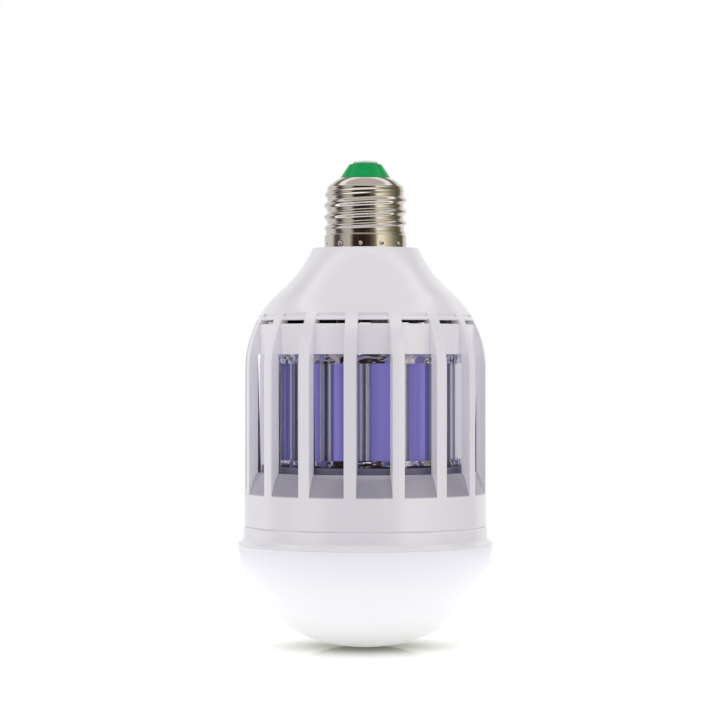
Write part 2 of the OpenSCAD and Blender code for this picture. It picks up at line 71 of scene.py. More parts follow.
# Screw cap, in mm
SKIRT_R = 13.0
SKIRT_H = 4.3
SHELL_T = 0.4
CREST_R = 13.12
THREAD_DEPTH = 1.0
PITCH = 3.629
THREAD_H = 14.5
ROOT_R = CREST_R - THREAD_DEPTH
DIMPLES = 12

# Shoulder, cage and its openings, in mm
CURVE_Z = NECK_Z - 38.1
NECK_R = 16.8
OUTWARD_R = 32.4
INWARD_R = 36.0
HOUSING_T = 1.8
HOUSING_STEPS = 208
BARS = 16
BAR_W = 3.8
BAR_INNER_R = CAGE_R - 2.8
SILL_Z = CAGE_Z + 10.2
CREST_Z = SILL_Z + 7.2
BAND_R = CAGE_R - 3.5
BAND_TOP_Z = CEILING_Z + 9.4
SLOT_TOP_Z = BAND_TOP_Z + 1.05

# Electrodes, in mm and degrees
POSTS = 14
POST_CIRCLE_R = 26.8
POST_D = 4.4
FIRST_POST_A = 6.4 - 90
BUS_BORE_R = 23.0
SPARK_GAP = 0.9

# Base ring and dome, in mm
BASE_R = 38.5
FLARE_H = 2.2
FLANK_R = 0.895 * DOME_R
BOTTOM_R = 1.49 * DOME_R
DOME_T = 1.6


# Outlines


def polar(radius, degrees):
    turn = math.radians(degrees)
    return Vector((radius * math.cos(turn), radius * math.sin(turn)))


def arc(centre, radius, start, end, steps):
    """Points on an arc, from one angle to another in degrees."""
    return [Vector(centre) + polar(radius, start + (end - start) * i / steps) for i in range(steps + 1)]


def angle_to(point):
    return math.degrees(math.atan2(point[1], point[0]))


def crossing(first, r1, second, r2):
    """Where two circles cross, on the left of the line from the first centre to the second."""
    first, second = Vector(first), Vector(second)
    gap = (second - first).length
    along = (second - first) / gap
    x = (gap * gap + r1 * r1 - r2 * r2) / (2 * gap)
    y = math.sqrt(r1 * r1 - x * x)
    return first + along * x + Vector((-along[1], along[0])) * y


# Making and finishing meshes


def edit(piece):
    """Opens one piece in edit mode with everything selected."""
    bpy.ops.object.select_all(action="DESELECT")
    piece.select_set(True)
    bpy.context.view_layer.objects.active = piece
    bpy.ops.object.mode_set(mode="EDIT")
    bpy.ops.mesh.select_all(action="SELECT")


def leave():
    bpy.ops.object.mode_set(mode="OBJECT")


def outline(name, points, closed=True):
    """A profile in the XZ plane, drawn out point by point from one vertex."""
    bpy.ops.object.select_all(action="DESELECT")
    first = Vector((points[0][0], 0, points[0][1])) * MM
    bpy.ops.mesh.primitive_plane_add(size=MM, location=first)
    piece = bpy.context.object
    piece.name = name
    bpy.ops.object.transform_apply(location=True, rotation=False, scale=False)
    edit(piece)
    bpy.ops.mesh.merge(type="CENTER")
    for before, after in zip(points, points[1:]):
        step = Vector((after[0] - before[0], 0, after[1] - before[1])) * MM
        bpy.ops.mesh.extrude_vertices_move(TRANSFORM_OT_translate={"value": step})
    bpy.ops.mesh.select_all(action="SELECT")
    if closed:
        bpy.ops.mesh.edge_face_add()
        bpy.ops.mesh.delete(type="ONLY_FACE")
        bpy.ops.mesh.select_all(action="SELECT")
    leave()
    return piece


def turned(name, points, steps, closed=True):
    """A full turning of a profile about the bulb's axis, with its doubles merged."""
    piece = outline(name, points, closed)
    edit(piece)
    bpy.ops.mesh.spin(steps=steps, angle=math.tau, center=(0, 0, 0), axis=(0, 0, 1))
    bpy.ops.mesh.select_all(action="SELECT")
    bpy.ops.mesh.remove_doubles(threshold=0.002 * MM)
    bpy.ops.mesh.normals_make_consistent(inside=False)
    leave()
    return piece


def apply_all(piece):
    bpy.ops.object.select_all(action="DESELECT")
    piece.select_set(True)
    bpy.context.view_layer.objects.active = piece
    for modifier in list(piece.modifiers):
        bpy.ops.object.modifier_apply(modifier=modifier.name)


def soften(piece, width, segments=3, angle=35):
    """Rounds the edges that a mould or a tool leaves round, and shades the rest smooth."""
    bevel = piece.modifiers.new("soft edges", "BEVEL")
    bevel.width = width * MM
    bevel.segments = segments
    bevel.limit_method = "ANGLE"
    bevel.angle_limit = math.radians(angle)
    apply_all(piece)
    smooth(piece)
    piece.modifiers.new("even shading", "WEIGHTED_NORMAL").keep_sharp = True
    apply_all(piece)


def smooth(piece, angle=30):
    bpy.ops.object.select_all(action="DESELECT")
    piece.select_set(True)
    bpy.context.view_layer.objects.active = piece
    bpy.ops.object.shade_smooth_by_angle(angle=math.radians(angle))


def copies(piece, count, phase=0.0):
    """The piece and its copies round the axis, joined into one."""
    made = []
    for i in range(count):
        extra = piece.copy()
        extra.data = piece.data.copy()
        bpy.context.collection.objects.link(extra)
        extra.data.transform(Matrix.Rotation(math.radians(phase + i * 360 / count), 4, "Z"))
        made.append(extra)
    bpy.data.objects.remove(piece)
    bpy.ops.object.select_all(action="DESELECT")
    for extra in made:
        extra.select_set(True)
    bpy.context.view_layer.objects.active = made[0]
    bpy.ops.object.join()
    return bpy.context.object


def cut(piece, cutter):
    difference = piece.modifiers.new("cut", "BOOLEAN")
    difference.operation = "DIFFERENCE"
    difference.solver = "EXACT"
    difference.object = cutter
    apply_all(piece)
    bpy.data.objects.remove(cutter)


def dress(piece, name, material):
    """Names a finished piece, gives it its material, and lets it stand for the frame's part."""
    piece.name = name + "_skin"
    piece.data.name = piece.name
    piece.data.materials.clear()
    piece.data.materials.append(material)
    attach(piece, "root")
    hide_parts(name)
    return piece


# Materials


def colour(code):
    """sRGB hex to linear."""
    parts = [int(code[i:i + 2], 16) / 255 for i in (1, 3, 5)]
    return tuple(v / 12.92 if v <= 0.04045 else ((v + 0.055) / 1.055) ** 2.4 for v in parts) + (1.0,)


def add(tree, kind, settings=None, **inputs):
    """A node with its settings and inputs. An input that is a socket is linked, any other is set."""
    node = tree.nodes.new(kind)
    for name, value in (settings or {}).items():
        setattr(node, name, value)
    for name, value in inputs.items():
        key = int(name[1:]) if name[0] == "_" else name.replace("_", " ")
        if isinstance(value, bpy.types.NodeSocket):
            tree.links.new(value, node.inputs[key])
        else:
            node.inputs[key].default_value = value
    return node


def material(name):
    """An empty material's tree, its shader and its object coordinates."""
    made = bpy.data.materials.new(name)
    made.use_nodes = True
    tree = made.node_tree
    shader = tree.nodes["Principled BSDF"]
    place = tree.nodes.new("ShaderNodeTexCoord").outputs["Object"]
    return made, tree, shader, place


def noise(tree, place, grain, detail=3.0):
    """Noise whose lumps are about grain mm across."""
    return add(tree, "ShaderNodeTexNoise", Vector=place, Scale=1 / (grain * MM), Detail=detail).outputs["Fac"]


def spread(tree, value, low, high):
    """Turns a 0 to 1 value into the range low to high."""
    return add(tree, "ShaderNodeMapRange", Value=value, To_Min=low, To_Max=high).outputs["Result"]


def mix(tree, factor, first, second):
    return add(tree, "ShaderNodeMix", {"data_type": "RGBA"}, _0=factor, _6=first, _7=second).outputs[2]


def bump(tree, shader, height, strength, depth):
    node = add(tree, "ShaderNodeBump", Height=height, Strength=strength, Distance=depth * MM)
    tree.links.new(node.outputs["Normal"], shader.inputs["Normal"])


def moulded_white():
    """White ABS from a polished mould. The sills' up-facing sloped faces get a lavender-grey colour, which is painted
    shade.
    """
    made, tree, shader, place = material("moulded white ABS")
    flow = noise(tree, place, 22)
    base = mix(tree, flow, colour("#F1F0F6"), colour("#F7F6FA"))
    height = add(tree, "ShaderNodeSeparateXYZ", Vector=place).outputs["Z"]
    upward = add(tree, "ShaderNodeNewGeometry").outputs["Normal"]
    upward = add(tree, "ShaderNodeSeparateXYZ", Vector=upward).outputs["Z"]
    sloped = add(tree, "ShaderNodeMapRange", Value=upward, From_Min=0.1, From_Max=0.2).outputs["Result"]
    over = add(tree, "ShaderNodeMapRange", Value=height, From_Min=SILL_Z * MM, From_Max=(SILL_Z + 0.5) * MM)
    under = add(tree, "ShaderNodeMapRange", Value=height, From_Min=(CREST_Z + 2) * MM, From_Max=(CREST_Z + 1) * MM)
    sill_shade_mask = add(tree, "ShaderNodeMath", {"operation": "MULTIPLY"}, _0=over.outputs["Result"], _1=under.outputs["Result"])
    sill_shade_mask = add(tree, "ShaderNodeMath", {"operation": "MULTIPLY"}, _0=sill_shade_mask.outputs[0], _1=sloped)
    # Painted shade: lavender grey on the sills' up-facing sloped faces, masked by height and by the normal.
    painted_sill_shade = mix(tree, noise(tree, place, 9), colour("#9E9CAA"), colour("#AEACBA"))
    tree.links.new(mix(tree, sill_shade_mask.outputs[0], base, painted_sill_shade), shader.inputs["Base Color"])
    shader.inputs["Roughness"].default_value = 0.19
    shader.inputs["IOR"].default_value = 2.0
    bump(tree, shader, noise(tree, place, 0.5, 1.0), 0.03, 0.01)
    return made


def milky_dome():
    """Polycarbonate with white pigment. It glows all over, with a lighter colour and a stronger glow towards the
    bottom: painted light, as the dome is no lamp.
    """
    made, tree, shader, place = material("milky polycarbonate")
    depth = add(tree, "ShaderNodeSeparateXYZ", Vector=place).outputs["Z"]
    lit = add(tree, "ShaderNodeMapRange", Value=depth, From_Min=BOTTOM_Z * MM, From_Max=RIM_Z * MM)
    painted_glow_fade = lit.outputs["Result"]
    # Painted light: lighter colour and stronger glow towards the bottom.
    tree.links.new(mix(tree, painted_glow_fade, colour("#F8F8FB"), colour("#E9E9F0")), shader.inputs["Base Color"])
    tree.links.new(spread(tree, noise(tree, place, 4), 0.34, 0.42), shader.inputs["Roughness"])
    shader.inputs["IOR"].default_value = 1.58
    shader.inputs["Subsurface Weight"].default_value = 0.35
    shader.inputs["Subsurface Radius"].default_value = (0.006, 0.006, 0.006)
    shader.inputs["Emission Color"].default_value = colour("#FFFFFF")
    tree.links.new(spread(tree, painted_glow_fade, 0.42, 0.14), shader.inputs["Emission Strength"])
    bump(tree, shader, noise(tree, place, 0.5), 0.08, 0.02)
    return made


def nickel_plate():
    """Bright nickel over drawn brass: mirror-like, with fine rings from the drawing and rolling."""
    made, tree, shader, place = material("bright nickel plate")
    stain = noise(tree, place, 5)
    tree.links.new(mix(tree, stain, colour("#E0DCD6"), colour("#EEEAE4")), shader.inputs["Base Color"])
    shader.inputs["Metallic"].default_value = 1.0
    tree.links.new(spread(tree, noise(tree, place, 1.4), 0.02, 0.06), shader.inputs["Roughness"])
    rings = add(tree, "ShaderNodeMapping", Vector=place, Scale=(0.05, 0.05, 1.0)).outputs["Vector"]
    bump(tree, shader, noise(tree, rings, 0.4), 0.05, 0.01)
    return made


def green_insulator():
    """Green pigmented moulding with a soft gloss and faint clouds in the pigment."""
    made, tree, shader, place = material("green moulded insulator")
    tree.links.new(mix(tree, noise(tree, place, 3), colour("#02A050"), colour("#0CAA5A")), shader.inputs["Base Color"])
    shader.inputs["Roughness"].default_value = 0.18
    shader.inputs["IOR"].default_value = 1.3
    bump(tree, shader, noise(tree, place, 0.8), 0.05, 0.02)
    return made


def tinned_contact():
    """Dip-tinned brass: pale, a little uneven, satin."""
    made, tree, shader, place = material("tinned contact")
    tree.links.new(mix(tree, noise(tree, place, 1.5), colour("#F6F8F4"), colour("#FFFFFD")), shader.inputs["Base Color"])
    shader.inputs["Metallic"].default_value = 0.1
    tree.links.new(spread(tree, noise(tree, place, 0.8), 0.22, 0.38), shader.inputs["Roughness"])
    bump(tree, shader, noise(tree, place, 1.2), 0.25, 0.05)
    return made


def polished_steel():
    """Drawn and polished steel: clear reflections, with faint draw lines along each rod."""
    made, tree, shader, place = material("polished drawn steel")
    tree.links.new(mix(tree, noise(tree, place, 9), colour("#BCC0D6"), colour("#CCD0E2")), shader.inputs["Base Color"])
    shader.inputs["Metallic"].default_value = 1.0
    tree.links.new(spread(tree, noise(tree, place, 3), 0.26, 0.34), shader.inputs["Roughness"])
    lines = add(tree, "ShaderNodeMapping", Vector=place, Scale=(1.0, 1.0, 0.03)).outputs["Vector"]
    bump(tree, shader, noise(tree, lines, 0.3), 0.1, 0.01)
    return made


def pressed_steel():
    """Pressed and polished steel: its face is a little uneven, so that reflections swirl in it."""
    made, tree, shader, place = material("pressed polished steel")
    tree.links.new(mix(tree, noise(tree, place, 7), colour("#B6B6CE"), colour("#D2D2E6")), shader.inputs["Base Color"])
    shader.inputs["Metallic"].default_value = 1.0
    shader.inputs["Roughness"].default_value = 0.07
    flat = add(tree, "ShaderNodeMapping", Vector=place, Scale=(1.0, 1.0, 2.2)).outputs["Vector"]
    bump(tree, shader, noise(tree, flat, 4.5, 1.0), 0.8, 1.6)
    return made


def violet_tube():
    """Tinted acrylic tube lit from inside, with the draw of the extruder as faint upright streaks."""
    made, tree, shader, place = material("lit violet acrylic")
    lines = add(tree, "ShaderNodeMapping", Vector=place, Scale=(1.0, 1.0, 0.02)).outputs["Vector"]
    streak = add(tree, "ShaderNodeMapRange", Value=noise(tree, lines, 7, 1.0), From_Min=0.35, From_Max=0.65)
    tone = mix(tree, streak.outputs["Result"], colour("#675FA8"), colour("#827AC0"))
    tree.links.new(mix(tree, 0.75, tone, colour("#16142A")), shader.inputs["Base Color"])
    shader.inputs["Roughness"].default_value = 0.14
    shader.inputs["IOR"].default_value = 1.49
    tree.links.new(tone, shader.inputs["Emission Color"])
    ray = add(tree, "ShaderNodeLightPath").outputs["Is Diffuse Ray"]
    tree.links.new(spread(tree, ray, 0.72, 2.6), shader.inputs["Emission Strength"])
    return made


def plain(name, low, high, rough, metallic=0.0, grain=2.0, relief=0.1, glow=None):
    """A finish for a part inside: two near colours in a grain, with a light relief."""
    made, tree, shader, place = material(name)
    tree.links.new(mix(tree, noise(tree, place, grain), colour(low), colour(high)), shader.inputs["Base Color"])
    shader.inputs["Metallic"].default_value = metallic
    tree.links.new(spread(tree, noise(tree, place, grain / 2), rough, rough + 0.1), shader.inputs["Roughness"])
    if glow:
        shader.inputs["Emission Color"].default_value = colour(glow[0])
        shader.inputs["Emission Strength"].default_value = glow[1]
    bump(tree, shader, noise(tree, place, grain / 4), relief, 0.05)
    return made


# Pieces


def thread_wave(turn, height):
    """How far the thread stands out from its root: a rounded wave that climbs right-handed."""
    share = min(1.0, max(0.0, height / THREAD_H))
    rise = min(1.0, 6 * share)
    run_out = min(1.0, 6 * (1 - share))
    wave = (0.5 + 0.5 * math.cos(turn - math.tau * height / PITCH)) ** 1.5
    return run_out * THREAD_DEPTH * (0.5 + rise * (wave - 0.5))


def screw_shell():
    """Formed shell: a plain skirt with its punched dimples, the round thread and the shoulder."""
    skirt_top = NECK_Z + SKIRT_H
    thread_top = skirt_top + THREAD_H
    insulator_r = 8.05
    bend_r = 1.2
    rings = 72
    skirt_rings = 18
    skirt = [(SKIRT_R, NECK_Z + (SKIRT_H - 0.5) * i / skirt_rings) for i in range(skirt_rings + 1)]
    lip = arc((SKIRT_R - 0.3, skirt_top - 0.4), 0.3, 20, 80, 4)
    thread = [(ROOT_R, skirt_top + THREAD_H * i / rings) for i in range(rings + 1)]
    bend = arc((ROOT_R - bend_r, thread_top), bend_r, 12, 48, 4)
    bulge = 0.2
    slope = Vector((insulator_r + 0.3, SHELL_TOP_Z)) - Vector(bend[-1])
    aside = Vector((-slope[1], slope[0])).normalized() * -bulge
    cone = ([Vector(bend[-1]) + slope * i / 8 + aside * math.sin(math.pi * i / 8) for i in range(1, 9)]
            + [(insulator_r, SHELL_TOP_Z - 0.1)])
    inside = [(insulator_r, SHELL_TOP_Z - SHELL_T), (ROOT_R - bend_r, thread_top + 1.1),
              (ROOT_R - SHELL_T - 0.2, thread_top), (ROOT_R - SHELL_T - 0.2, skirt_top),
              (SKIRT_R - SHELL_T, skirt_top - 0.8), (SKIRT_R - SHELL_T, NECK_Z)]
    piece = turned("shell", skirt + lip + thread + bend + cone + inside, 240)
    dimple_z = NECK_Z + 1.25
    for vertex in piece.data.vertices:
        x, y, z = vertex.co / MM
        radius, turn = math.hypot(x, y), math.atan2(y, x)
        moved = radius
        if skirt_top - 0.01 <= z <= thread_top + 0.01 and radius > ROOT_R - 0.05:
            moved = ROOT_R + thread_wave(turn, z - skirt_top)
        elif z < skirt_top and radius > SKIRT_R - 0.05:
            spacing = math.tau / DIMPLES
            aside = (turn / spacing - round(turn / spacing)) * spacing * SKIRT_R
            reach = math.hypot(aside, z - dimple_z)
            moved = radius - 0.42 * math.exp(-((reach / 0.48) ** 2))
        vertex.co *= Vector((moved / radius, moved / radius, 1))
    smooth(piece, 50)
    return piece


def insulator():
    """Green frustum between shell and contact, with its moulded seat round the contact."""
    top = SHELL_TOP_Z + 4.4
    foot = level("cap_insulator", 0)
    points = [(0.9, foot), (7.9, foot), (7.9, SHELL_TOP_Z - 0.5), (8.02, SHELL_TOP_Z), (7.9, SHELL_TOP_Z + 0.25),
              (5.3, top - 0.25), (5.06, top), (4.3, top), (4.15, top - 0.12), (2.6, top - 0.12), (2.6, top - 0.8),
              (0.9, top - 0.8)]
    piece = turned("insulator", points, 96)
    soften(piece, 0.12)
    return piece


def contact():
    """Domed contact disc with a rolled rim, and the drop of solder in its middle."""
    top = level("centre_contact", 1)
    low = level("centre_contact", 0)
    rim = arc((3.55, top - 0.75), 0.4, -60, 80, 8)
    points = ([(2.55, low), (2.55, top - 1.3), (3.5, top - 1.25)] + rim
              + [(2.9, top - 0.22), (1.7, top - 0.12), (1.3, top - 0.04), (0.8, top), (0.001, top), (0.001, low)])
    piece = turned("contact", points, 96)
    smooth(piece, 50)
    return piece


def housing_outline():
    """Section of the one white moulding, from the boss in the cap down to the lower ring and back up inside."""
    out_c = Vector((CAGE_R - OUTWARD_R, CURVE_Z))
    neck = Vector((NECK_R, NECK_Z))
    in_c = crossing(neck, INWARD_R, out_c, OUTWARD_R + INWARD_R)
    flank = angle_to(in_c - out_c)
    neck_a = angle_to(neck - in_c)
    boss_r = SKIRT_R - SHELL_T - 0.1
    boss_top = level("cage_housing", 1)
    ring_bore = CAGE_R - 2.0
    lip_r = BAR_INNER_R - 2.4
    band_bore = BAND_R - HOUSING_T
    shelf = band_bore - 1
    wall_r = OUTWARD_R - HOUSING_T
    shelf_a = math.degrees(math.acos((shelf - out_c[0]) / wall_r))
    top_a = math.degrees(math.asin((in_c[1] - NECK_Z + HOUSING_T) / (INWARD_R + HOUSING_T))) - 180
    groove = 0.6
    outside = ([(boss_r - 0.4, boss_top), (boss_r, boss_top - 0.4), (boss_r, NECK_Z)]
               + arc(in_c, INWARD_R, neck_a, flank - 180, 24) + arc(out_c, OUTWARD_R, flank, 0, 36)[1:])
    below = [(CAGE_R, CREST_Z), (CAGE_R, SILL_Z), (CAGE_R, CAGE_Z + 0.4), (CAGE_R - 0.4, CAGE_Z),
             (ring_bore, CAGE_Z), (ring_bore, CAGE_Z + 2), (ring_bore + groove, CAGE_Z + 2.6),
             (ring_bore + groove, CAGE_Z + 3.4), (ring_bore, CAGE_Z + 4), (ring_bore, CREST_Z - 1.8),
             (lip_r, CREST_Z - 1.8), (lip_r, CREST_Z), (BAR_INNER_R, CREST_Z), (BAR_INNER_R, CEILING_Z),
             (band_bore, CEILING_Z), (band_bore, CEILING_Z + 2), (shelf, CEILING_Z + 2)]
    inside = arc(out_c, wall_r, shelf_a, flank, 14) + arc(in_c, INWARD_R + HOUSING_T, flank - 180, top_a, 14)[1:]
    bore = boss_r - HOUSING_T
    return outside + below + inside + [(bore, NECK_Z - HOUSING_T), (bore, boss_top)], out_c


def opening_cutter(out_c):
    """What is open between two bars: window, step over the band, slot, and the rounded lip over it."""
    lip_z = SLOT_TOP_Z + 2.4
    lip_r = out_c[0] + math.sqrt(OUTWARD_R ** 2 - (lip_z - CURVE_Z) ** 2)
    far = CAGE_R + 6
    tip = 0.8
    slot_in = BAND_R - HOUSING_T - 2
    brow_r, brow_z = CAGE_R - 1.55, CREST_Z - 2
    fall = (brow_z - SILL_Z) / (CAGE_R - brow_r)
    points = ([(far, SILL_Z - fall), (CAGE_R + 1, SILL_Z - fall), (brow_r, brow_z), (BAR_INNER_R + 0.2, CREST_Z),
               (BAR_INNER_R - 1, CREST_Z), (BAR_INNER_R - 1, CEILING_Z), (BAND_R, CEILING_Z)]
              + arc((BAND_R - 0.6, BAND_TOP_Z - 0.6), 0.6, 0, 90, 7)
              + [(slot_in, BAND_TOP_Z), (slot_in, SLOT_TOP_Z)]
              + arc((BAND_R - 1.2, SLOT_TOP_Z + tip), tip, -90, 0, 7)
              + [(lip_r - 0.1, lip_z - 0.9), (lip_r, lip_z), (far, lip_z)])
    cutter = outline("opening", points)
    edit(cutter)
    bpy.ops.mesh.edge_face_add()
    facets = 11
    bpy.ops.mesh.spin(steps=facets, angle=math.tau * facets / HOUSING_STEPS, center=(0, 0, 0), axis=(0, 0, 1))
    leave()
    turns = [math.atan2(v.co.y, v.co.x) for v in cutter.data.vertices]
    cutter.data.transform(Matrix.Rotation(-(min(turns) + max(turns)) / 2, 4, "Z"))
    half_gap = 180 / BARS
    for side in (-1, 1):
        edit(cutter)
        normal = Vector((0, side, 0))
        normal.rotate(Matrix.Rotation(math.radians(side * half_gap), 3, "Z"))
        bpy.ops.mesh.bisect(plane_co=normal * (-BAR_W / 2 * MM), plane_no=normal, use_fill=True, clear_outer=True)
        leave()
    edit(cutter)
    bpy.ops.mesh.normals_make_consistent(inside=False)
    leave()
    return copies(cutter, BARS, -90 + half_gap)


def cage_housing():
    points, out_c = housing_outline()
    piece = turned("housing", points, HOUSING_STEPS)
    cut(piece, opening_cutter(out_c))
    soften(piece, 0.3, angle=14)
    return piece


def rods(first):
    """Every other electrode from the first: a polished rod with its turned ends in the plates."""
    low, high = level("live_electrodes", 0), level("live_electrodes", 1)
    bpy.ops.object.select_all(action="DESELECT")
    bpy.ops.mesh.primitive_cylinder_add(
        vertices=48, radius=POST_D / 2 * MM, depth=(high - low) * MM,
        location=(POST_CIRCLE_R * MM, 0, (low + high) / 2 * MM))
    rod = bpy.context.object
    bpy.ops.object.transform_apply(location=True, rotation=False, scale=False)
    piece = copies(rod, POSTS // 2, FIRST_POST_A + first * 360 / POSTS)
    soften(piece, 0.3)
    return piece


def bus_ring(node, gripped):
    """Turned ring that grips every other rod, with a clear hole round each of the others."""
    low, high = level(node, 0), level(node, 1)
    piece = turned("ring", [(BUS_BORE_R, low), (BUS_R, low), (BUS_R, high), (BUS_BORE_R, high)], 160)
    for first, radius in ((gripped, POST_D / 2 + 0.02), (1 - gripped, POST_D / 2 + SPARK_GAP)):
        bpy.ops.object.select_all(action="DESELECT")
        bpy.ops.mesh.primitive_cylinder_add(
            vertices=32, radius=radius * MM, depth=(high - low + 2) * MM,
            location=(POST_CIRCLE_R * MM, 0, (low + high) / 2 * MM))
        drill = bpy.context.object
        bpy.ops.object.transform_apply(location=True, rotation=False, scale=False)
        cut(piece, copies(drill, POSTS // 2, FIRST_POST_A + first * 360 / POSTS))
    soften(piece, 0.35)
    return piece


def lure_tube():
    """Violet tube round the column, its ends flame-rounded."""
    wall = 1.2
    piece = turned("tube", [(TUBE_R, DECK_Z), (TUBE_R, CEILING_Z), (TUBE_R - wall, CEILING_Z), (TUBE_R - wall, DECK_Z)], 128)
    soften(piece, 0.3)
    return piece


def base_ring():
    """Ring with a soft flare down to the dome, and the spigot that snaps into the cage."""
    spigot = CAGE_R - 2.1
    plate_z = level("lower_plate", 0)
    bore = BASE_R - 2.0
    ledge_bore = level_radius_of_ledge()
    flare = [(BASE_R + (DOME_R - BASE_R) * (1 - i / 10) ** 2, RIM_Z + 0.5 + (FLARE_H - 0.5) * i / 10) for i in range(11)]
    points = ([(bore, RIM_Z), (DOME_R - 0.3, RIM_Z), (DOME_R, RIM_Z + 0.25)] + flare
              + [(BASE_R, CAGE_Z - 0.4), (BASE_R - 0.4, CAGE_Z), (spigot, CAGE_Z), (spigot, plate_z),
                 (spigot - 1.8, plate_z), (spigot - 1.8, CAGE_Z), (ledge_bore, CAGE_Z), (ledge_bore, CAGE_Z - 1.6),
                 (bore, CAGE_Z - 1.6)])
    piece = turned("base", points, 160)
    soften(piece, 0.18, angle=50)
    return piece


def level_radius_of_ledge():
    """Bore of the base ring's ledge, from the heat plate that it carries."""
    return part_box("heat_plate")[1][0] / MM - 5.6


def diffuser_dome():
    """Milky dome: flanks that run into a flatter bottom, with a wall and a spigot at the rim."""
    base_c = Vector((0, BOTTOM_Z + BOTTOM_R))
    rim = Vector((DOME_R, RIM_Z - 0.9))
    flank_c = crossing(rim, FLANK_R, base_c, BOTTOM_R - FLANK_R)
    join = angle_to(flank_c - base_c)
    spigot = BASE_R - 2.1
    start = angle_to(rim - flank_c)
    outer = arc(flank_c, FLANK_R, start, join, 40) + arc(base_c, BOTTOM_R, join, -90, 10)[1:]
    inner_a = math.degrees(math.asin((RIM_Z - DOME_T - flank_c[1]) / (FLANK_R - DOME_T)))
    inner = arc(flank_c, FLANK_R - DOME_T, inner_a, join, 20) + arc(base_c, BOTTOM_R - DOME_T, join, -90, 5)[1:]
    rim_round = arc((DOME_R - 0.6, RIM_Z - 0.6), 0.6, 85, 10, 4)
    points = ([(spigot - 1.5, RIM_Z - DOME_T), (spigot - 1.5, RIM_Z + 3), (spigot, RIM_Z + 3), (spigot, RIM_Z)]
              + rim_round + outer + inner[::-1])
    points[len(points) - len(inner) - 1] = Vector((0.001, BOTTOM_Z))
    points[len(points) - len(inner)] = Vector((0.001, BOTTOM_Z + DOME_T))
    piece = turned("dome", points, 160)
    smooth(piece, 40)
    return piece


WHITE = moulded_white()
STEEL = polished_steel()
RING_STEEL = pressed_steel()

dress(screw_shell(), "screw_shell", nickel_plate())
dress(insulator(), "cap_insulator", green_insulator())
dress(contact(), "centre_contact", tinned_contact())
dress(cage_housing(), "cage_housing", WHITE)
dress(bus_ring("upper_bus_ring", 0), "upper_bus_ring", RING_STEEL)
dress(bus_ring("lower_bus_ring", 1), "lower_bus_ring", RING_STEEL)
dress(rods(0), "live_electrodes", STEEL)
dress(rods(1), "return_electrodes", STEEL)
dress(lure_tube(), "lure_tube", violet_tube())
dress(base_ring(), "base_ring", WHITE)
dress(diffuser_dome(), "diffuser_dome", milky_dome())

# Finishes of the frame's own parts, mostly inside
INNER = {
    "upper_plate": WHITE,
    # Painted shade: the deck's dark lavender grey stands for the shade inside the cage.
    "lower_plate": plain("deck with painted shade", "#726F86", "#7E7B92", 0.3, grain=6.0),
    "upper_plate_screws": plain("zinc plated screw", "#8E9098", "#A8AAB2", 0.25, 1.0, 0.8),
    "driver_board": plain("green solder mask", "#0E4A26", "#155C30", 0.3, grain=3.0),
    "reservoir_capacitor": plain("shrink sleeve", "#141A3C", "#1C2450", 0.25, grain=4.0),
    "step_up_coil": plain("enamelled copper winding", "#9A5424", "#B86A30", 0.3, 0.8, 0.6, 0.3),
    "driver_chips": plain("moulded epoxy", "#141416", "#1E1E22", 0.5, grain=0.8),
    "high_voltage_module": plain("potting resin", "#101012", "#1A1A1E", 0.35, grain=5.0),
    "contact_lead": plain("red lead insulation", "#8E1410", "#A01A14", 0.4),
    "shell_lead": plain("black lead insulation", "#121212", "#1C1C1C", 0.4),
    # Painted light: the white board glows violet, in place of its lamps' light falling on it.
    "uv_board": plain("white solder mask", "#E4E2EE", "#F0EEF8", 0.35, grain=4.0, glow=("#7A68D8", 0.4)),
    "uv_lamps": plain("lit ultraviolet lamp", "#9A80FF", "#B8A4FF", 0.2, grain=1.0, glow=("#8468FF", 3.0)),
    "heat_plate": plain("stamped aluminium", "#B8BABE", "#CACCD0", 0.3, 1.0, 3.0),
    "white_lamps": plain("phosphor", "#F0E080", "#F8ECA0", 0.4, grain=0.8),
}
INNER["heat_plate_screws"] = INNER["upper_plate_screws"]
INNER["grid_leads"] = INNER["lamp_leads"] = INNER["contact_lead"]
INNER["lamp_board"] = plain("white lamp board", "#ECECE8", "#F6F6F2", 0.35, grain=4.0)
for node, finish in INNER.items():
    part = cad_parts[node]
    part.data.materials.clear()
    part.data.materials.append(finish)

# Studio: white all round, dim towards the camera, over a glossy white floor
AZIMUTH = math.radians(7.2)

# What a mirror-like part reflects near the horizon, by angle from the camera's side: degrees
# (to the left below zero) and brightness
STUDIO_BANDS = [(-180, "#FFFFFF"), (-145, "#D8D6D4"), (-108, "#D6D2D0"), (-94, "#5C5452"), (-80, "#50484A"),
                (-66, "#B8B0AC"), (-46, "#C4BAB4"), (-34, "#3A2D24"), (-6, "#2A1E16"), (12, "#40342A"),
                (27, "#7A6E5C"), (38, "#FFF8E4"), (52, "#F4EAD2"), (68, "#C8BFA8"), (86, "#8A8670"),
                (106, "#5C5A46"), (124, "#66624E"), (138, "#DAD6CE"), (180, "#FFFFFF")]
# Soft light on everything else, by the same angle
STUDIO_LIGHT = [(-180, "#FFFFFF"), (-80, "#FFFFFF"), (-40, "#E8E4E8"), (0, "#CBC6CB"), (40, "#E8E4E8"),
                (80, "#FFFFFF"), (180, "#FFFFFF")]
# What a mirror-like part reflects higher up and lower down: share of the way to the pole, and brightness
STUDIO_CAPS = [(0.58, "#4A4644"), (0.68, "#8E8884"), (0.74, "#FFFFFA"), (0.8, "#FFFFFA"), (0.87, "#BEB6B0"),
               (1.0, "#C0B8B2")]


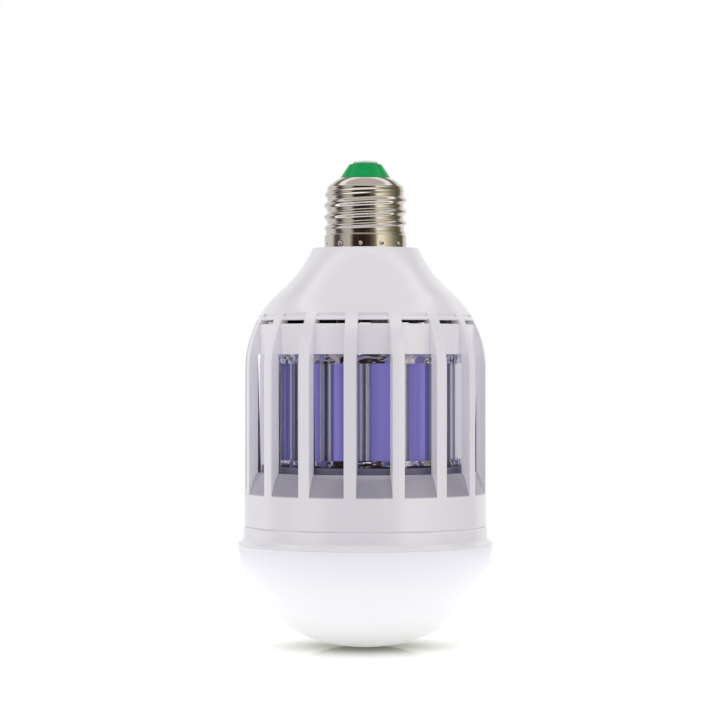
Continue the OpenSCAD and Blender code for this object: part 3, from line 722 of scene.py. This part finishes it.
def ramp(tree, value, stops):
    """A ramp of colours, from stops between 0 and 1."""
    node = add(tree, "ShaderNodeValToRGB", Fac=value)
    elements = node.color_ramp.elements
    while len(elements) < len(stops):
        elements.new(1.0)
    for element, (position, code) in zip(elements, stops):
        element.position = position
        element.color = colour(code)
    return node.outputs["Color"]


def bands(tree, turn, stops):
    """A ramp of colours round the studio, from stops in degrees."""
    return ramp(tree, turn, [((degrees + 180) / 360, code) for degrees, code in stops])


def studio():
    world = bpy.data.worlds.new("studio")
    bpy.context.scene.world = world
    world.use_nodes = True
    tree = world.node_tree
    tree.nodes.clear()
    ray = add(tree, "ShaderNodeLightPath")
    towards = tree.nodes.new("ShaderNodeTexCoord").outputs["Generated"]
    facing = add(tree, "ShaderNodeVectorRotate", {"rotation_type": "Z_AXIS"}, Vector=towards,
                 Angle=math.radians(90) - AZIMUTH).outputs["Vector"]
    axes = add(tree, "ShaderNodeSeparateXYZ", Vector=facing)
    turn = add(tree, "ShaderNodeMath", {"operation": "ARCTAN2"}, _0=axes.outputs["Y"], _1=axes.outputs["X"])
    share = add(tree, "ShaderNodeMapRange", Value=turn.outputs[0], From_Min=-math.pi, From_Max=math.pi).outputs["Result"]
    height = add(tree, "ShaderNodeMath", {"operation": "ABSOLUTE"}, _0=axes.outputs["Z"]).outputs[0]
    above = add(tree, "ShaderNodeMapRange", Value=height, From_Min=0.45, From_Max=0.62).outputs["Result"]
    mirrored = mix(tree, above, bands(tree, share, STUDIO_BANDS), ramp(tree, height, STUDIO_CAPS))
    soft = mix(tree, above, bands(tree, share, STUDIO_LIGHT), colour("#F2F0F2"))
    indirect = mix(tree, ray.outputs["Is Glossy Ray"], soft, mirrored)
    seen = add(tree, "ShaderNodeMath", {"operation": "MAXIMUM"}, _0=ray.outputs["Is Camera Ray"],
               _1=ray.outputs["Is Transmission Ray"])
    shown = mix(tree, seen.outputs[0], indirect, colour("#FFFFFF"))
    back = add(tree, "ShaderNodeBackground", Color=shown, Strength=1.0)
    add(tree, "ShaderNodeOutputWorld", Surface=back.outputs[0])


def floor_material():
    """White, with the bulb's own shadow, and a mirror close under the dome that fades out. The mirror is tinted dark
    close to the contact: painted shade.
    """
    made = bpy.data.materials.new("glossy white floor")
    made.use_nodes = True
    tree = made.node_tree
    tree.nodes.clear()
    place = tree.nodes.new("ShaderNodeTexCoord").outputs["Object"]
    away = add(tree, "ShaderNodeVectorMath", {"operation": "LENGTH"}, _0=place).outputs["Value"]
    ray = add(tree, "ShaderNodeLightPath")
    seen = add(tree, "ShaderNodeMath", {"operation": "MAXIMUM"}, _0=ray.outputs["Is Camera Ray"],
               _1=ray.outputs["Is Glossy Ray"])
    through = add(tree, "ShaderNodeMath", {"operation": "MAXIMUM"}, _0=seen.outputs[0],
                  _1=ray.outputs["Is Transmission Ray"])
    lift = add(tree, "ShaderNodeMath", {"operation": "MULTIPLY"}, _0=through.outputs[0], _1=0.42)
    white = add(tree, "ShaderNodeBsdfDiffuse", Color=colour("#F4F4F4"))
    glow = add(tree, "ShaderNodeEmission", Color=(1, 1, 1, 1), Strength=lift.outputs[0])
    base = add(tree, "ShaderNodeAddShader", _0=white.outputs[0], _1=glow.outputs[0])
    near = add(tree, "ShaderNodeMapRange", Value=away, From_Min=0.014, From_Max=0.056, To_Min=1.0, To_Max=0.0)
    # Painted shade: the mirror is tinted dark olive grey near the contact.
    painted_contact_shade = add(tree, "ShaderNodeMapRange", Value=away, From_Min=0.006, From_Max=0.036)
    shaded_mirror_tint = mix(tree, painted_contact_shade.outputs["Result"], colour("#96978C"), colour("#FFFFFA"))
    mirror = add(tree, "ShaderNodeBsdfGlossy", Color=shaded_mirror_tint, Roughness=0.04)
    both = add(tree, "ShaderNodeMixShader", _0=near.outputs["Result"], _1=base.outputs[0], _2=mirror.outputs[0])
    add(tree, "ShaderNodeOutputMaterial", Surface=both.outputs[0])
    return made


bpy.ops.object.select_all(action="DESELECT")
bpy.ops.mesh.primitive_circle_add(vertices=96, radius=0.15, fill_type="NGON", location=(0, 0, BOTTOM_Z * MM))
floor = bpy.context.object
floor.name = "floor"
floor.data.materials.append(floor_material())
studio()

# Camera: level, at the photograph's distance, a little round from the front bar
LENS_MM = 140.6
SENSOR_MM = 36
DISTANCE = 0.89
EYE_Z = (BOTTOM_Z + 90.5) * MM
ASIDE = -0.0017

camera_data = bpy.data.cameras.new("camera")
camera_data.lens = LENS_MM
camera_data.sensor_width = SENSOR_MM
camera = bpy.data.objects.new("camera", camera_data)
bpy.context.collection.objects.link(camera)
toward = Vector((math.sin(AZIMUTH), -math.cos(AZIMUTH), 0))
right = Vector((math.cos(AZIMUTH), math.sin(AZIMUTH), 0))
camera.location = toward * DISTANCE + right * ASIDE + Vector((0, 0, EYE_Z))
camera.rotation_euler = (math.radians(90), 0, AZIMUTH)
bpy.context.scene.camera = camera
bpy.context.scene.view_settings.view_transform = "Standard"
